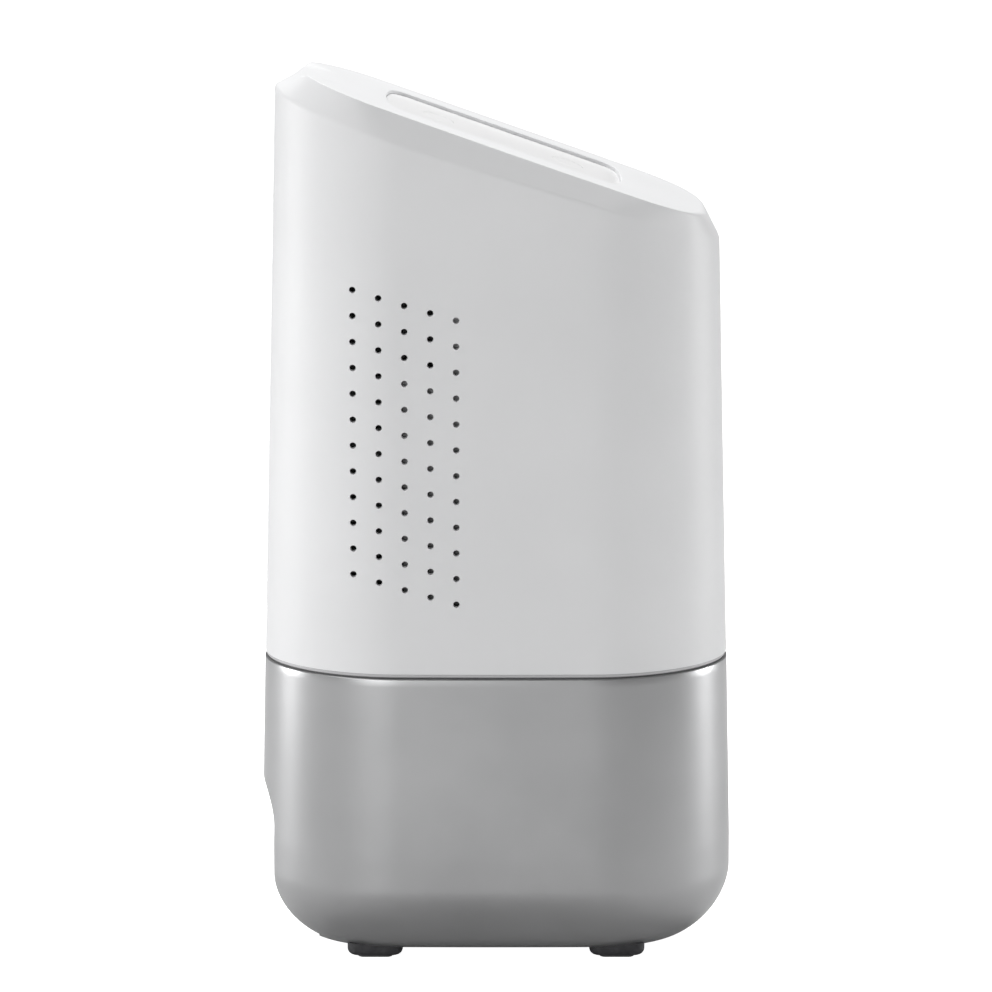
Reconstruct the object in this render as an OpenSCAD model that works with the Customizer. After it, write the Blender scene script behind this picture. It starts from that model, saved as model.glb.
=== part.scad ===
// Small thermoelectric dehumidifier: a water tank on four feet carries a lift-off head with a slanted top.
// +X is the low end of the top, -Y the side with the air intake, +Z up, origin on the floor under the centre.

/* [Overall size] */
// Length of the plan outline at the seam between head and tank
body_length = 161.2; // [134:0.1:194]
// Width of the plan outline at the seam
body_width = 76; // [64:0.1:92]
// Height of the slanted top plane above the floor, at the centre
top_height = 290; // [272:0.1:348]
// Height of the lower edge of the white housing
seam_height = 107.6; // [90:0.1:118]
// Slope of the top, falling towards +X
top_slope = 19.5; // [14:0.1:22]
// Length of each rounded end of the plan outline
end_length = 47; // [40:0.5:50]
// Bulge of the long sides as a share of the half width
side_bow = 0.05; // [0.02:0.01:0.08]

/* [Housing] */
// Wall thickness of the housing
housing_wall = 2.2; // [1.8:0.1:2.8]
// Draft angle of the housing wall
housing_draft = 1.35; // [0.5:0.05:1.6]
// Drop from the edge of the top plane to the lower edge of the chamfer, at the centre
chamfer_drop = 8.8; // [6:0.1:10]
// How far the chamfer takes in the long sides at the top plane
chamfer_inset = 7.6; // [6.5:0.1:9]

/* [Air holes] */
// Diameter of one air hole
hole_d = 2.25; // [1.8:0.05:3]
// Columns of holes
hole_columns = 5; // [3:1:6]
// Rows of holes
hole_rows = 12; // [6:1:12]
// Distance between columns
column_pitch = 8.85; // [7:0.05:10]
// Distance between rows
row_pitch = 9; // [7:0.1:9.5]
// Drop from one column to the next
column_drop = 2.52; // [0:0.01:3.2]
// First column, measured from the centre towards -X
first_column = 49; // [40:0.1:50]
// Top hole of the first column, measured down from the top plane's height at the centre
first_row_drop = 48.5; // [40:0.1:60]

/* [Control panel] */
// Length of the recessed pill along the slope
panel_length = 85.6; // [76:0.1:90]
// Width of the pill
panel_width = 37; // [32:0.5:40]
// Corner radius of the pill
panel_corner = 6.5; // [5:0.1:12]
// Radius of its bowed ends
panel_bow = 67; // [40:1:120]
// Depth of the recess above the panel
panel_recess = 1.2; // [0.8:0.1:1.6]
// Thickness of the panel
panel_thickness = 1.5; // [1:0.1:1.8]
// Distance between the two keys
key_spacing = 47; // [36:0.5:48]
// Diameter of a key's cap
key_d = 10.6; // [8:0.1:12]

/* [Tank] */
// Wall thickness of the tank
tank_wall = 2.2; // [1.8:0.1:2.8]
// How far the tank's wall stands out from the outline at its widest
tank_flare = 1.5; // [0.5:0.1:2.5]
// Height of the tank's widest line
tank_widest = 41.5; // [36:0.5:50]
// Radius of the tank's bottom edge
tank_edge = 27.5; // [18:0.5:30]
// Height of the tank's underside
tank_bottom = 2.6; // [2.4:0.1:5]
// Dark gap between the lid and the tank's rim
rim_gap = 0.5; // [0.3:0.1:0.8]
// Height of the lid's edge that shows between head and tank
lid_edge = 1.1; // [0.8:0.1:1.6]

/* [Grip recess] */
// Width of the finger recess in the -X end
grip_width = 32; // [20:0.5:36]
// Height of the top of its arch
grip_top = 62.5; // [50:0.5:70]
// Depth of the recess from the tank's widest point
grip_depth = 20; // [8:0.5:24]

/* [Feet] */
// Distance between the feet along X
foot_spacing = 84.8; // [70:0.1:90]
// Width of a foot
foot_width = 19.4; // [16:0.1:22]
// Depth of a foot
foot_depth = 14; // [10:0.1:15]
// Outer face of a foot from the centre plane
foot_reach = 19.5; // [17:0.1:21]
// Corner radius of a foot
foot_corner = 3.2; // [2:0.1:4]
// Thickness of the pad that shows below a foot
pad_height = 0.8; // [0.5:0.1:1]

/* [Cooling stack] */
// Width of both heat sinks and of the fan
stack_width = 60; // [60:1:64]
// Height of the cold heat sink
cold_height = 80; // [70:1:84]
// Side of the thermoelectric module
module_side = 40; // [30:1:40]
// Thickness of the thermoelectric module
module_thickness = 3.6; // [3:0.1:4.2]
// Depth of the cold fins
cold_fin_depth = 12; // [8:0.5:14]
// Distance between fins
fin_pitch = 5; // [4:0.25:6]
// Thickness of a fin
fin_thickness = 1.2; // [0.8:0.1:1.5]
// Centre of the stack along X
stack_x = -6; // [-10:0.5:-4]
// Thickness of the fan
fan_thickness = 15; // [12:0.5:15]
// Radius of the fan's bore
fan_bore_r = 28.5; // [26:0.1:28.8]
// Number of fan blades
blade_count = 7; // [5:1:9]
// Radius of the fan's shaft
shaft_r = 1.5; // [1.2:0.1:2]
// Radial running clearance of the shaft
shaft_clearance = 0.05; // [0.02:0.01:0.09]

/* [Float] */
// Centre of the float along X
float_x = 50; // [44:0.5:54]
// Centre of the float along Y
float_y = -12; // [-14:0.5:-8]
// Radius of the float
float_r = 7; // [5:0.1:8]
// Height of the float
float_height = 14; // [10:0.5:16]
// How far the float rises
float_travel = 18; // [10:0.5:20]

/* [Hidden] */
$fn = 48;

// Plan outline: two elliptical ends joined by bowed sides
flat_half = body_length / 2 - end_length;
side_half = body_width / 2 / (1 + side_bow);
half_length = body_length / 2;
END_STEPS = 24;
SIDE_STEPS = 4;
EPS = 0.01;
STATIONS = concat(
    [for (i = [0:END_STEPS]) let (p = 180 * i / END_STEPS - 90) [1, cos(p), sin(p)]],
    [for (i = [1:SIDE_STEPS - 1]) [1 - 2 * i / SIDE_STEPS, 0, 1]],
    [for (i = [0:END_STEPS]) let (p = 180 * i / END_STEPS + 90) [-1, cos(p), sin(p)]],
    [for (i = [1:SIDE_STEPS - 1]) [2 * i / SIDE_STEPS - 1, 0, -1]]);

function plan_point(s, flat, end, half) =
    let (x = s[0] * flat + s[1] * end)
    [x, half * s[2] * (1 + side_bow * (1 - pow(x / (flat + end), 2)))];
function plan(inset) = [for (s = STATIONS) plan_point(s, flat_half, end_length - inset, side_half - inset)];
function at_height(ring, z) = [for (p = ring) [p[0], p[1], z]];
// Half width of the outline at x, for a given inset
function side_y(x, inset) =
    let (end = end_length - inset, over = max(abs(x) - flat_half, 0) / end)
    (side_half - inset) * sqrt(1 - over * over) * (1 + side_bow * (1 - pow(x / (flat_half + end), 2)));

// Slanted top
slope_rise = tan(top_slope);
chamfer_rise = slope_rise * 0.884;
draft_rise = tan(housing_draft);
top_end = end_length - 20;
top_flat = flat_half + 9.4;
top_half = side_half - chamfer_inset;
top_shift = 1.7;
top_blunt = -(top_flat + top_end) + 6.4;
// Power of the low end's cosine and sine: 1 gives an ellipse, less a squarer end
low_end_power = 0.9;
function top_z(x) = top_height - slope_rise * x;
// Drafted wall ring that follows the slope, set in by skin
function slope_ring(mid_z, rise, skin) = [for (s = STATIONS)
    let (x = plan_point(s, flat_half, end_length, side_half)[0],
        z = mid_z - rise * x,
        d = (z - seam_height) * draft_rise + skin,
        p = plan_point(s, flat_half, end_length - d, side_half - d))
    [p[0], p[1], z]];
// Outline of the top plane, blunt at its high end and squarer at its low end
function squared(s) = s[0] < 1 ? s : [s[0], pow(max(s[1], 0), low_end_power), sign(s[2]) * pow(abs(s[2]), low_end_power)];
function top_ring(skin, depth) = [for (s = STATIONS)
    let (p = plan_point(squared(s), top_flat, top_end - skin, top_half - skin),
        x = max(p[0] + top_shift, top_blunt + skin))
    [x, p[1], top_z(x) - depth]];

module loft(rings) {
    n = len(rings[0]);
    last = (len(rings) - 1) * n;
    polyhedron(
        points = [for (ring = rings) each ring],
        faces = concat(
            [[for (i = [0:n - 1]) i]],
            [[for (i = [n - 1:-1:0]) last + i]],
            [for (r = [0:len(rings) - 2]) for (i = [0:n - 1])
                [r * n + i, (r + 1) * n + i, (r + 1) * n + (i + 1) % n]],
            [for (r = [0:len(rings) - 2]) for (i = [0:n - 1])
                [r * n + i, (r + 1) * n + (i + 1) % n, r * n + (i + 1) % n]]));
}
module box(low, high) translate(low) cube(high - low);
module rod(r, y0, y1) translate([0, y0, 0]) rotate([-90, 0, 0]) cylinder(r = r, h = y1 - y0);
module rounded(l, w, r) {
    square([l - 2 * r, w], center = true);
    square([l, w - 2 * r], center = true);
    for (x = [-1, 1]) for (y = [-1, 1]) translate([x * (l / 2 - r), y * (w / 2 - r)]) circle(r);
}
// Screw along +Z: head below z = 0, shank above it
module screw(r, length, head_r, head_h) {
    translate([0, 0, -head_h * 0.4]) cylinder(r = r, h = length + head_h * 0.4);
    difference() {
        translate([0, 0, -head_h]) cylinder(r = head_r, h = head_h);
        translate([0, 0, -head_h]) for (a = [0, 90]) rotate([0, 0, a])
            cube([head_r * 1.2, head_r * 0.28, head_h], center = true);
    }
}

// Top plane's own axes: x along the slope, z out of the plane
panel_x = 3;
module on_top() translate([0, 0, top_height]) rotate([0, top_slope, 0]) translate([panel_x, 0, 0]) children();
// Outline of the recessed pill: straight sides, rounded corners and gently bowed ends
function pill_quarter(grow) =
    let (half = panel_width / 2 + grow, r = panel_corner + grow, bow = panel_bow + grow,
        bow_x = panel_length / 2 + grow - bow, turn = asin((half - r) / (bow - r)),
        corner_x = bow_x + sqrt(pow(bow - r, 2) - pow(half - r, 2)))
    concat([for (i = [0:5]) let (t = turn * i / 6) [bow_x + bow * cos(t), bow * sin(t)]],
        [for (i = [0:6]) let (t = turn + (90 - turn) * i / 6) [corner_x + r * cos(t), half - r + r * sin(t)]]);
module pill(grow) {
    q = pill_quarter(grow);
    n = len(q) - 1;
    polygon(concat(q, [for (i = [n:-1:0]) [-q[i][0], q[i][1]]],
        [for (i = [1:n]) [-q[i][0], -q[i][1]]], [for (i = [n:-1:1]) [q[i][0], -q[i][1]]]));
}
module key_places() for (s = [-1, 1]) translate([s * key_spacing / 2, 0, 0]) children();
floor_thickness = 1.5;
well_depth = panel_recess + panel_thickness;
well_floor = well_depth + floor_thickness;
lamp_spacing = 8;
guide_r = 1.4;
board_drop = 10;
board_thickness = 1.2;
board_l = key_spacing + 20;
board_w = panel_width - 9;
post_x = board_l / 2 - 4;
post_y = board_w / 2 - 3;
post_r = 2.5;
small_screw_r = 1;
key_gap = 0.3;
key_flange_r = key_d / 2 + 1.3;
switch_h = 3.5;
switch_hole_r = 2.1;
plunger_r = 1.7;
stem_end = 5.5;

// Tank, lid and seam
rim_z = seam_height - lid_edge - rim_gap;
EDGE_STEPS = 8;
// Power of the bottom edge's cosine and sine: 1 gives a circle, more a flatter edge
edge_power = 1.11;
function tank_rings(skin) = let (r = tank_edge - skin) concat(
    [for (i = [EDGE_STEPS:-1:0]) let (t = 90 * i / EDGE_STEPS)
        at_height(plan(skin - tank_flare + r * (1 - pow(cos(t), edge_power))),
            tank_bottom + tank_edge - r * pow(sin(t), edge_power))],
    [at_height(plan(skin - tank_flare), tank_widest)],
    [at_height(plan(skin - 0.1), rim_z + (skin > 0 ? 1 : 0))]);
grip_x = half_length + tank_flare - grip_depth;
grip_wall = 2;
seal_in = 0.9;
seal_width = 1.2;
lid_gap = 0.5;
skirt_wall = 1.6;
skirt_depth = 5;

// Chassis and the screws that close the head
seat_gap = 0.1;
chassis_z = seam_height + seat_gap;
chassis_thickness = 4;
chassis_top = chassis_z + chassis_thickness;
fit_gap = 0.3;
screw_r = 1.5;
screw_head_r = 2.75;
screw_head_h = 1.6;
boss_r = 4.2;
boss_height = 14;
boss_x = flat_half + 14;
boss_bite = 0.5;
boss_y = side_y(boss_x, housing_wall + boss_height * draft_rise) - boss_r + boss_bite;
BOSSES = [for (x = [-1, 1]) for (y = [-1, 1]) [x * boss_x, y * boss_y]];

// Cooling stack, from the intake side to the exhaust side
stack_z0 = seam_height + 26;
stack_z1 = stack_z0 + cold_height;
stack_mid = (stack_z0 + stack_z1) / 2;
stack_x0 = stack_x - stack_width / 2;
stack_x1 = stack_x + stack_width / 2;
baffle_high_z = max(top_height - 45, stack_z1 + 2);
bay_half = side_y(abs(stack_x) + stack_width / 2, housing_wall + (baffle_high_z - seam_height) * draft_rise);
baffle_y0 = -bay_half + 0.8;
baffle_y1 = baffle_y0 + 1.5;
cold_y0 = baffle_y1 + 0.5;
cold_base_y0 = cold_y0 + cold_fin_depth;
base_thickness = 3.5;
foam_lap = 4;
cold_base_y1 = cold_base_y0 + base_thickness;
module_y1 = cold_base_y1 + module_thickness;
hot_base_y1 = module_y1 + base_thickness + 0.5;
fan_y1 = bay_half - 4.5;
fan_y0 = fan_y1 - fan_thickness;
hot_y1 = fan_y0 - 0.2;
clamp_reach = 26;
fan_hole_reach = 25;
blade_gap = 1;
bearing_r = 2.6;
cup_r = 12;
tube_r = 4;
baffle_step_x = -18;
baffle_x1 = stack_x1 + 6;
field_x = -first_column;
field_z = top_height - first_row_drop;
field_mid_z = field_z - row_pitch * (hole_rows - 1) / 2 - column_drop * (hole_columns - 1) / 2;
field_mid_x = field_x + column_pitch * (hole_columns - 1) / 2;

// Drip path
spout_x = stack_x;
funnel_y0 = baffle_y1 + 0.3;
funnel_y1 = cold_base_y0;
spout_y = (funnel_y0 + funnel_y1) / 2;
spout_r = 4.5;
spout_bore_r = 3.2;
spout_bottom = rim_z - 6.4;
funnel_z = seam_height + 24.5;
carrier_y0 = cold_base_y0;
carrier_y1 = cold_base_y1;
carrier_x0 = -half_length + 22;
carrier_top = 26;

// Float
cage_gap = 0.5;
cage_wall = 1.5;
cage_ledge = 2;
float_z0 = rim_z - 3 - float_travel - float_height;
cage_r = float_r + cage_gap + cage_wall;
magnet_r = 3.5;
magnet_h = 3;

// Boards and the power inlet
board_x0 = stack_x1 + 10;
board_x1 = half_length - 21;
board_y = 3;
board_z0 = chassis_top + 3;
board_z1 = board_z0 + 68;
board_t = 1.6;
jack_z = chassis_top + 10;
jack_r = 3.9;
jack_bore_r = 2.75;
jack_pin_r = 1.05;
jack_nose_x = -half_length + 1.3;
jack_body_x = -half_length + housing_wall + 1.4;
jack_body_l = 12;
jack_body_w = 9.5;
jack_body_h = 11;

module air_holes(y0, y1, shift_x, shift_z)
    for (c = [0:hole_columns - 1]) for (r = [0:hole_rows - 1])
        translate([field_x + c * column_pitch + shift_x, 0, field_z - c * column_drop - r * row_pitch + shift_z])
            rod(hole_d / 2, y0, y1);

module grip(grow) {
    r = grip_width / 2 + grow;
    arch_z = grip_top - grip_width / 2;
    translate([-half_length - 20, 0, 0]) rotate([90, 0, 90]) linear_extrude(half_length + 20 - grip_x + grow) {
        translate([0, arch_z]) circle(r);
        translate([-r, 0]) square([2 * r, arch_z]);
    }
}

module foot_places() for (x = [-1, 1]) for (y = [-1, 1])
    translate([x * foot_spacing / 2, y * (foot_reach - foot_depth / 2), 0]) children();
foot_top = tank_bottom + 3.2;
seat_wall = 1.6;
pad_inset = 3.6;
pad_sunk = 0.5;
pad_gap = 0.05;

module tank_shell() color("darkgray") difference() {
    union() {
        difference() {
            loft(tank_rings(0));
            loft(tank_rings(tank_wall));
        }
        intersection() {
            loft(tank_rings(0));
            union() {
                grip(grip_wall);
                foot_places() linear_extrude(foot_top + seat_wall)
                    rounded(foot_width + 2 * seat_wall, foot_depth + 2 * seat_wall, foot_corner + seat_wall);
            }
        }
    }
    grip(0);
    foot_places() translate([0, 0, -1]) linear_extrude(foot_top + 1)
        rounded(foot_width + 0.2, foot_depth + 0.2, foot_corner);
}

module feet() color("dimgray") foot_places() difference() {
    intersection() {
        translate([0, 0, pad_height]) linear_extrude(foot_top - pad_height - 0.05)
            rounded(foot_width, foot_depth, foot_corner);
        translate([0, foot_depth / 2, foot_top + foot_corner + pad_height]) rotate([90, 0, 0])
            linear_extrude(foot_depth) rounded(foot_width, 2 * (foot_top + foot_corner), foot_corner);
    }
    translate([0, 0, pad_height - 1]) linear_extrude(1 + pad_sunk)
        rounded(foot_width - 2 * pad_inset + 2 * pad_gap, foot_depth - 5 + 2 * pad_gap, 2);
}

module foot_pads() color("gray") foot_places()
    linear_extrude(pad_height + pad_sunk - pad_gap) rounded(foot_width - 2 * pad_inset, foot_depth - 5, 2);

module tank_lid() color("lightgray") difference() {
    union() {
        loft([at_height(plan(0.5), seam_height - lid_edge), at_height(plan(0.5), seam_height)]);
        difference() {
            loft([at_height(plan(tank_wall + lid_gap), rim_z - skirt_depth),
                at_height(plan(tank_wall + lid_gap), seam_height - lid_edge + EPS)]);
            loft([at_height(plan(tank_wall + lid_gap + skirt_wall), rim_z - skirt_depth - 1),
                at_height(plan(tank_wall + lid_gap + skirt_wall), seam_height - lid_edge)]);
        }
    }
    translate([spout_x, spout_y, rim_z - skirt_depth]) cylinder(r = spout_r + 1.5, h = skirt_depth + 10);
}

module lid_seal() color("dimgray") difference() {
    loft([at_height(plan(seal_in), rim_z + 0.05), at_height(plan(seal_in), rim_z + rim_gap)]);
    loft([at_height(plan(seal_in + seal_width), rim_z - 1), at_height(plan(seal_in + seal_width), seam_height)]);
}

module float_cage() color("white") translate([float_x, float_y, 0]) difference() {
    translate([0, 0, float_z0 - cage_ledge]) cylinder(r = cage_r, h = seam_height - lid_edge - float_z0 + cage_ledge);
    translate([0, 0, float_z0]) cylinder(r = float_r + cage_gap, h = 100);
    translate([0, 0, float_z0 - cage_ledge - 1]) cylinder(r = float_r - 2, h = cage_ledge + 2);
    for (a = [0, 90]) rotate([0, 0, a])
        box([-20, -2, float_z0 + 6], [20, 2, float_z0 + float_height + float_travel - 4]);
}

module float_body() color("ivory") translate([float_x, float_y, float_z0]) difference() {
    cylinder(r = float_r, h = float_height);
    translate([0, 0, float_height - magnet_h - 0.5]) cylinder(r = magnet_r + 0.05, h = magnet_h + 2);
}

module float_magnet() color("silver")
    translate([float_x, float_y, float_z0 + float_height - magnet_h - 0.5]) cylinder(r = magnet_r, h = magnet_h);

module housing() color("white") difference() {
    union() {
        difference() {
            loft([at_height(plan(0), seam_height),
                slope_ring(top_height - chamfer_drop, chamfer_rise, 0), top_ring(0, 0)]);
            loft([at_height(plan(housing_wall), seam_height - 1),
                slope_ring(top_height - chamfer_drop - 0.9, chamfer_rise, housing_wall),
                top_ring(housing_wall * 0.75, housing_wall * 1.06)]);
        }
        on_top() translate([0, 0, -well_floor])
            linear_extrude(well_floor - panel_recess) pill(1.5);
        on_top() for (x = [-1, 1]) for (y = [-1, 1])
            translate([x * post_x, y * post_y, -board_drop]) cylinder(r = post_r, h = board_drop - well_depth);
        for (p = BOSSES) translate([p[0], p[1], chassis_top]) cylinder(r = boss_r, h = boss_height);
    }
    on_top() translate([0, 0, -well_depth])
        linear_extrude(well_depth + 5) pill(0);
    on_top() key_places() translate([0, 0, -well_floor - 1]) cylinder(r = key_flange_r + 0.5, h = floor_thickness + 2);
    on_top() for (s = [-1, 1]) translate([s * lamp_spacing / 2, 0, -well_floor - 1])
        cylinder(r = guide_r + 0.2, h = floor_thickness + 2);
    on_top() for (x = [-1, 1]) for (y = [-1, 1])
        translate([x * post_x, y * post_y, -board_drop - 1]) cylinder(r = small_screw_r + 0.05, h = 6.2);
    for (p = BOSSES) translate([p[0], p[1], chassis_top - 1]) cylinder(r = screw_r + 0.05, h = boss_height - 1);
    air_holes(-body_width, 0, 0, 0);
    air_holes(0, body_width, stack_x - field_mid_x, stack_mid - field_mid_z);
    translate([-half_length - 5, 0, jack_z]) rotate([0, 90, 0]) cylinder(r = jack_r + 0.2, h = 5 + housing_wall + 2);
}

module chassis() color("whitesmoke") difference() {
    union() {
        loft([at_height(plan(housing_wall + fit_gap), chassis_z),
            at_height(plan(housing_wall + fit_gap + chassis_thickness * draft_rise), chassis_top)]);
        // ribs that hold the main board and the power inlet
        for (x = [board_x0 + 3, board_x1 - 3]) {
            box([x - 2, board_y - 1.6, chassis_top - EPS], [x + 2, board_y + board_t + 1.6, board_z0]);
            for (y = [board_y - 1.6, board_y + board_t + 0.1])
                box([x - 2, y, board_z0 - 1], [x + 2, y + 1.5, board_z0 + 4]);
        }
        for (y = [-1, 1]) translate([jack_body_x + 1, y * (jack_body_w / 2 + 1.1) - 1, chassis_top - EPS])
            cube([jack_body_l - 2, 2, jack_z - chassis_top + 4]);
        box([jack_body_x + 1, -2, chassis_top - EPS],
            [jack_body_x + jack_body_l - 1, 2, jack_z - jack_body_h / 2]);
    }
    for (p = BOSSES) translate([p[0], p[1], chassis_z - 1]) {
        cylinder(r = screw_r + 0.2, h = chassis_thickness + 2);
        cylinder(r = screw_head_r + 0.25, h = screw_head_h + 1.2);
    }
    translate([spout_x, spout_y, chassis_z - 1]) cylinder(r = spout_r + 0.3, h = chassis_thickness + 2);
    for (x = [carrier_x0 + 5, stack_x1 - 5]) translate([x, carrier_y1 + 6, chassis_top - 3.4])
        cylinder(r = screw_r - 0.2, h = 5);
}

module chassis_screws() color("silver") for (p = BOSSES)
    translate([p[0], p[1], chassis_z + screw_head_h + 0.2]) screw(screw_r, 12, screw_head_r, screw_head_h);

module drip_funnel() color("gainsboro") difference() {
    union() {
        translate([0, funnel_y1, 0]) rotate([90, 0, 0]) linear_extrude(funnel_y1 - funnel_y0) polygon([
            [stack_x0 - 2, funnel_z], [stack_x0 - 2, funnel_z - 4], [spout_x - spout_r - 1, funnel_z - 12],
            [spout_x + spout_r + 1, funnel_z - 12], [stack_x1 + 2, funnel_z - 4], [stack_x1 + 2, funnel_z]]);
        translate([spout_x, spout_y, spout_bottom]) cylinder(r = spout_r, h = funnel_z - 10 - spout_bottom);
    }
    translate([0, funnel_y1 - 1.2, 0]) rotate([90, 0, 0]) linear_extrude(funnel_y1 - funnel_y0 - 2.4) polygon([
        [stack_x0 - 0.5, funnel_z + 1], [stack_x0 - 0.5, funnel_z - 3], [spout_x - spout_bore_r, funnel_z - 10.4],
        [spout_x + spout_bore_r, funnel_z - 10.4], [stack_x1 + 0.5, funnel_z - 3], [stack_x1 + 0.5, funnel_z + 1]]);
    translate([spout_x, spout_y, spout_bottom - 1]) cylinder(r = spout_bore_r, h = funnel_z - spout_bottom);
}

module carrier() color("lightgray") difference() {
    union() {
        translate([0, carrier_y1, 0]) rotate([90, 0, 0]) linear_extrude(carrier_y1 - carrier_y0) polygon([
            [carrier_x0, chassis_top], [baffle_x1, chassis_top],
            [baffle_x1, top_z(baffle_x1) - carrier_top], [carrier_x0, top_z(carrier_x0) - carrier_top]]);
        box([carrier_x0, carrier_y0, chassis_top], [baffle_x1, carrier_y1 + 10, chassis_top + 2.5]);
    }
    box([stack_x0 - fit_gap, carrier_y0 - 1, stack_z0 - fit_gap],
        [stack_x1 + fit_gap, carrier_y1 + 1, stack_z1 + fit_gap]);
    for (x = [carrier_x0 + 5, stack_x1 - 5]) translate([x, carrier_y1 + 6, chassis_top - 1])
        cylinder(r = screw_r + 0.2, h = 5);
}

module carrier_screws() color("silver") for (x = [carrier_x0 + 5, stack_x1 - 5])
    translate([x, carrier_y1 + 6, chassis_top + 2.5]) rotate([180, 0, 0])
        screw(screw_r - 0.25, 5.5, screw_head_r, screw_head_h);

// Light plate in front of the cold side, with a wall that closes the duct against the carrier
module intake_baffle() color("gainsboro") {
    box([stack_x0, baffle_y0, funnel_z + 0.3], [baffle_x1, baffle_y1, stack_z1]);
    box([baffle_step_x, baffle_y0, stack_z1 - EPS], [baffle_x1, baffle_y1, baffle_high_z]);
    box([baffle_x1 - 1.5, baffle_y0, funnel_z + 0.3], [baffle_x1, carrier_y0, stack_z1]);
}

function clear_of_screws(x) = abs(abs(x) - clamp_reach) > screw_head_r + fin_thickness / 2 + 0.3;
module fins(y0, y1, z0, z1) {
    side = floor((stack_width / 2 - fin_thickness / 2) / fin_pitch);
    for (i = [-side:side]) let (x = i * fin_pitch) if (clear_of_screws(x))
        box([stack_x + x - fin_thickness / 2, y0, z0], [stack_x + x + fin_thickness / 2, y1, z1]);
}
module clamp_places() for (x = [-1, 1]) for (z = [-1, 1])
    translate([stack_x + x * clamp_reach, 0, stack_mid + z * clamp_reach]) children();
module fan_places() for (x = [-1, 1]) for (z = [-1, 1])
    translate([stack_x + x * fan_hole_reach, 0, stack_mid + z * fan_hole_reach]) children();

module cold_heatsink() color("silver") difference() {
    union() {
        box([stack_x0, cold_base_y0, stack_z0], [stack_x1, cold_base_y1, stack_z1]);
        fins(cold_y0, cold_base_y0 + EPS, stack_z0, stack_z1);
    }
    clamp_places() rod(screw_r + 0.2, cold_base_y0 - 1, cold_base_y1 + 1);
}

module insulation_frame() color("dimgray") difference() {
    box([stack_x0 - foam_lap, cold_base_y1, stack_z0 - foam_lap], [stack_x1 + foam_lap, module_y1, stack_z1 + foam_lap]);
    box([stack_x - module_side / 2 - 0.2, cold_base_y1 - 1, stack_mid - module_side / 2 - 0.2],
        [stack_x + module_side / 2 + 0.2, module_y1 + 1, stack_mid + module_side / 2 + 0.2]);
    clamp_places() rod(screw_r + 0.2, cold_base_y1 - 1, module_y1 + 1);
}

module peltier_module() color("white") {
    plate = 0.9;
    for (y = [cold_base_y1, module_y1 - plate])
        box([stack_x - module_side / 2, y, stack_mid - module_side / 2],
            [stack_x + module_side / 2, y + plate, stack_mid + module_side / 2]);
    for (i = [-3:3]) for (k = [-3:3])
        translate([stack_x + i * module_side / 8, 0, stack_mid + k * module_side / 8])
            box([-0.9, cold_base_y1 + plate - EPS, -0.9], [0.9, module_y1 - plate + EPS, 0.9]);
}

module hot_heatsink() color("silver") difference() {
    union() {
        box([stack_x0, module_y1, stack_mid - stack_width / 2], [stack_x1, hot_base_y1, stack_mid + stack_width / 2]);
        fins(hot_base_y1 - EPS, hot_y1, stack_mid - stack_width / 2, stack_mid + stack_width / 2);
        fan_places() rod(3.5, hot_base_y1 - EPS, hot_y1);
    }
    clamp_places() rod(screw_r + 0.05, module_y1 - 1, hot_base_y1 - 0.4);
    fan_places() rod(screw_r + 0.05, max(hot_base_y1, hot_y1 - 8), hot_y1 + 1);
}

module clamp_screws() color("silver") clamp_places()
    translate([0, cold_base_y0, 0]) rotate([-90, 0, 0])
        screw(screw_r, hot_base_y1 - cold_base_y0 - 0.6, screw_head_r, screw_head_h);

module fan_frame() color("#26282a") translate([stack_x, 0, stack_mid]) {
    difference() {
        translate([0, fan_y1, 0]) rotate([90, 0, 0]) linear_extrude(fan_thickness)
            rounded(stack_width, stack_width, 4);
        rod(fan_bore_r, fan_y0 - 1, fan_y1 + 1);
        for (x = [-1, 1]) for (z = [-1, 1]) translate([x * fan_hole_reach, 0, z * fan_hole_reach])
            rod(screw_r + 0.3, fan_y0 - 1, fan_y1 + 1);
    }
    difference() {
        union() {
            rod(cup_r - 0.5, fan_y1 - 3.5, fan_y1);
            rod(tube_r, fan_y0 + 5, fan_y1 - 1);
            for (a = [30, 150, 270]) rotate([0, a, 0]) box([0, fan_y1 - 2.5, -1.5], [fan_bore_r + 0.5, fan_y1, 1.5]);
        }
        rod(bearing_r, fan_y0, fan_y1 - 1);
    }
}

module fan_bearing() color("goldenrod") translate([stack_x, 0, stack_mid]) difference() {
    rod(bearing_r, fan_y0 + 5, fan_y1 - 1);
    rod(shaft_r + shaft_clearance, fan_y0 + 4, fan_y1);
}

module fan_screws() color("silver") fan_places()
    translate([0, fan_y1, 0]) rotate([90, 0, 0])
        screw(screw_r, fan_thickness + min(7, hot_y1 - hot_base_y1 - 1), screw_head_r, screw_head_h);

module fan_rotor() color("#33363a") translate([stack_x, 0, stack_mid]) {
    rotor_y0 = fan_y0 + 1;
    rotor_y1 = fan_y1 - 4;
    difference() {
        rod(cup_r, rotor_y0, rotor_y1);
        rod(cup_r - 1.5, rotor_y0 + 1.5, rotor_y1 + 1);
    }
    rod(shaft_r, rotor_y0 + 1, fan_y1 - 1.5);
    intersection() {
        difference() {
            rod(fan_bore_r - blade_gap, rotor_y0, rotor_y1);
            rod(cup_r - 0.5, rotor_y0 - 1, rotor_y1 + 1);
        }
        for (i = [0:blade_count - 1]) rotate([0, 360 * i / blade_count, 0])
            translate([0, (rotor_y0 + rotor_y1) / 2, 0]) rotate([38, 0, 0])
                translate([cup_r - 1, -0.6, -9]) cube([fan_bore_r, 1.2, 18]);
    }
}

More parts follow.
